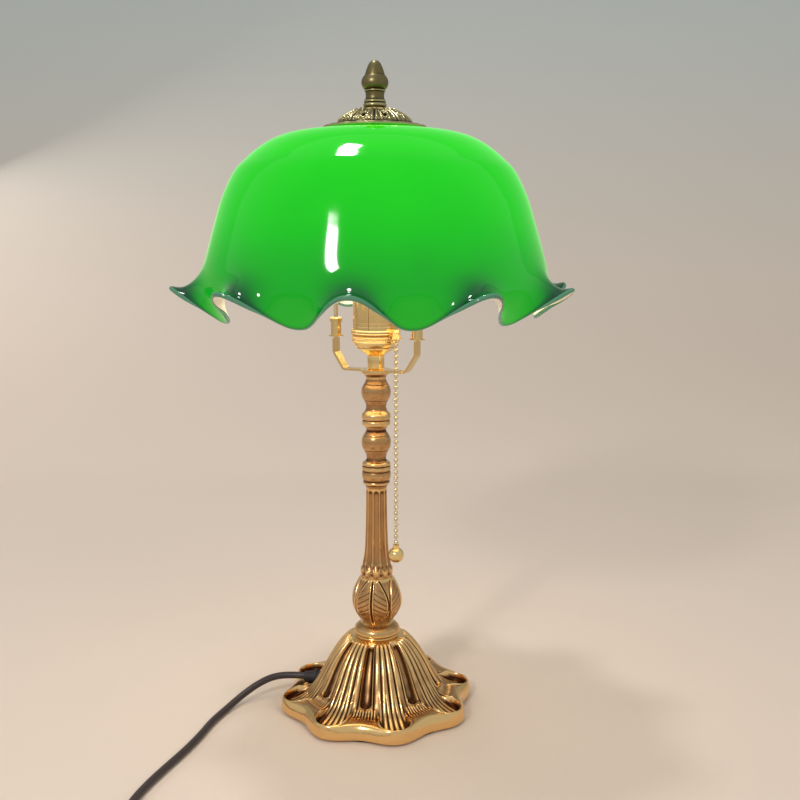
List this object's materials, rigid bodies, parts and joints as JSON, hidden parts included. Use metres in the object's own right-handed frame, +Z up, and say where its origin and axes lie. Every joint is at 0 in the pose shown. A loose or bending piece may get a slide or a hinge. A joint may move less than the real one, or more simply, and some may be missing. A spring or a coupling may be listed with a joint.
{
  "type": "banker desk lamp",
  "caption": "Desk lamp with a cast brass lobed foot and turned column, pull-chain lampholder, wire harp and a ruffled green glass shade.",
  "frame": {"origin": "middle of the foot, on the table", "axes": "+Z up along the column, -Y towards the front, +X to the right"},
  "size_m": [0.2865, 0.3792, 0.4553],
  "materials": {
    "cast_brass": "antique patina, satin, rubbed bright on the ridges",
    "bright_brass": "polished, lacquered",
    "dark_brass": "dark antique with greenish recesses",
    "steel": "zinc plated",
    "iron": "as cast",
    "felt": "felt",
    "green_glass": "cased glass, green over white, fire polished",
    "bulb_glass": "frosted inside",
    "rubber": "matt",
    "cord": "dark brown PVC, slight sheen",
    "phenolic": "moulded",
    "card": "insulating card",
    "nickel": "nickel-brass beads, polished",
    "plug_plastic": "moulded PVC"
  },
  "bodies": {
    "stand": {"felt_pad": "felt", "base_casting": "cast_brass", "ballast_ring": "iron", "bottom_cover": "steel", "cover_screws": "steel", "threaded_tube": "steel", "lock_nut": "steel", "lock_washer": "steel", "base_collar": "cast_brass", "leaf_vase": "cast_brass", "fluted_shaft": "cast_brass", "shaft_cup": "cast_brass", "lower_ball": "cast_brass", "ring_spacer": "cast_brass", "upper_ball": "cast_brass", "top_flange": "cast_brass", "saddle": "bright_brass", "neck_nut": "bright_brass", "socket_cap": "bright_brass", "socket_shell": "bright_brass", "socket_liner": "card", "switch_body": "phenolic", "terminal_screws": "bright_brass", "switch_pin": "steel", "screw_shell": "bright_brass", "centre_contact": "bright_brass", "chain_spout": "bright_brass", "cord_relief": "rubber", "inner_cord": "cord", "cord_lead": "cord", "cord_coil": "cord", "cord_tail": "cord", "plug_body": "plug_plastic", "plug_blades": "bright_brass", "lead_wires": "rubber"},
    "chain_hook": {"chain_hook": "nickel"},
    "pull_chain": {"pull_chain": "nickel", "chain_pendant": "bright_brass"},
    "switch_lever": {"switch_lever": "steel"},
    "bulb": {"bulb_contact": "phenolic", "bulb_cap": "bright_brass", "bulb_glass": "bulb_glass"},
    "harp": {"harp_wire": "bright_brass", "harp_clips": "bright_brass", "harp_stud": "bright_brass"},
    "right_sleeve": {"sleeve_right": "bright_brass"},
    "left_sleeve": {"sleeve_left": "bright_brass"},
    "shade": {"shade_glass": "green_glass", "support_disc": "bright_brass", "shade_grommet": "rubber", "cap_plate": "dark_brass"},
    "finial_washer": {"finial_washer": "bright_brass"},
    "finial": {"finial": "dark_brass"}
  },
  "joints": [
    {"name": "chain_pull", "type": "slide", "parent": "stand", "child": "chain_hook", "axis": [0, 0, -1], "range_m": [0, 0.006], "stiffness_N_per_m": 300, "springref_m": -0.003},
    {"name": "chain_swing", "type": "hinge", "parent": "chain_hook", "child": "pull_chain", "pos_m": [0.01406, -0.016, 0.2686], "axis": [-0.7513, -0.66, 0], "range_deg": [-2, 20]},
    {"name": "lever_turn", "type": "hinge", "parent": "stand", "child": "switch_lever", "pos_m": [0.00198, -0.00225, 0.2738], "axis": [0.7513, 0.66, 0], "range_deg": [0, 34.5]},
    {"name": "bulb_turn", "type": "hinge", "parent": "stand", "child": "bulb", "pos_m": [0, 0, 0.3], "axis": [0, 0, 1], "range_deg": [0, 1080]},
    {"name": "harp_lift", "type": "slide", "parent": "stand", "child": "harp", "axis": [0, 0, 1], "range_m": [0, 0.012]},
    {"name": "right_sleeve_slide", "type": "slide", "parent": "harp", "child": "right_sleeve", "axis": [0, 0, 1], "range_m": [0, 0.009]},
    {"name": "left_sleeve_slide", "type": "slide", "parent": "harp", "child": "left_sleeve", "axis": [0, 0, 1], "range_m": [0, 0.009]},
    {"name": "shade_turn", "type": "hinge", "parent": "harp", "child": "shade", "pos_m": [0, 0, 0.4], "axis": [0, 0, 1], "continuous": true},
    {"name": "finial_turn", "type": "hinge", "parent": "harp", "child": "finial_washer", "pos_m": [0, 0, 0.42], "axis": [0, 0, 1], "range_deg": [0, 1800]},
    {"name": "finial_lift", "type": "slide", "parent": "finial_washer", "child": "finial", "axis": [0, 0, 1], "range_m": [0, 0.0047]}
  ],
  "couplings": [
    {"joint": "lever_turn", "follows": "chain_pull", "rad_per_m": 100},
    {"joint": "finial_turn", "follows": "finial_lift", "rad_per_m": 6684.2}
  ]
}
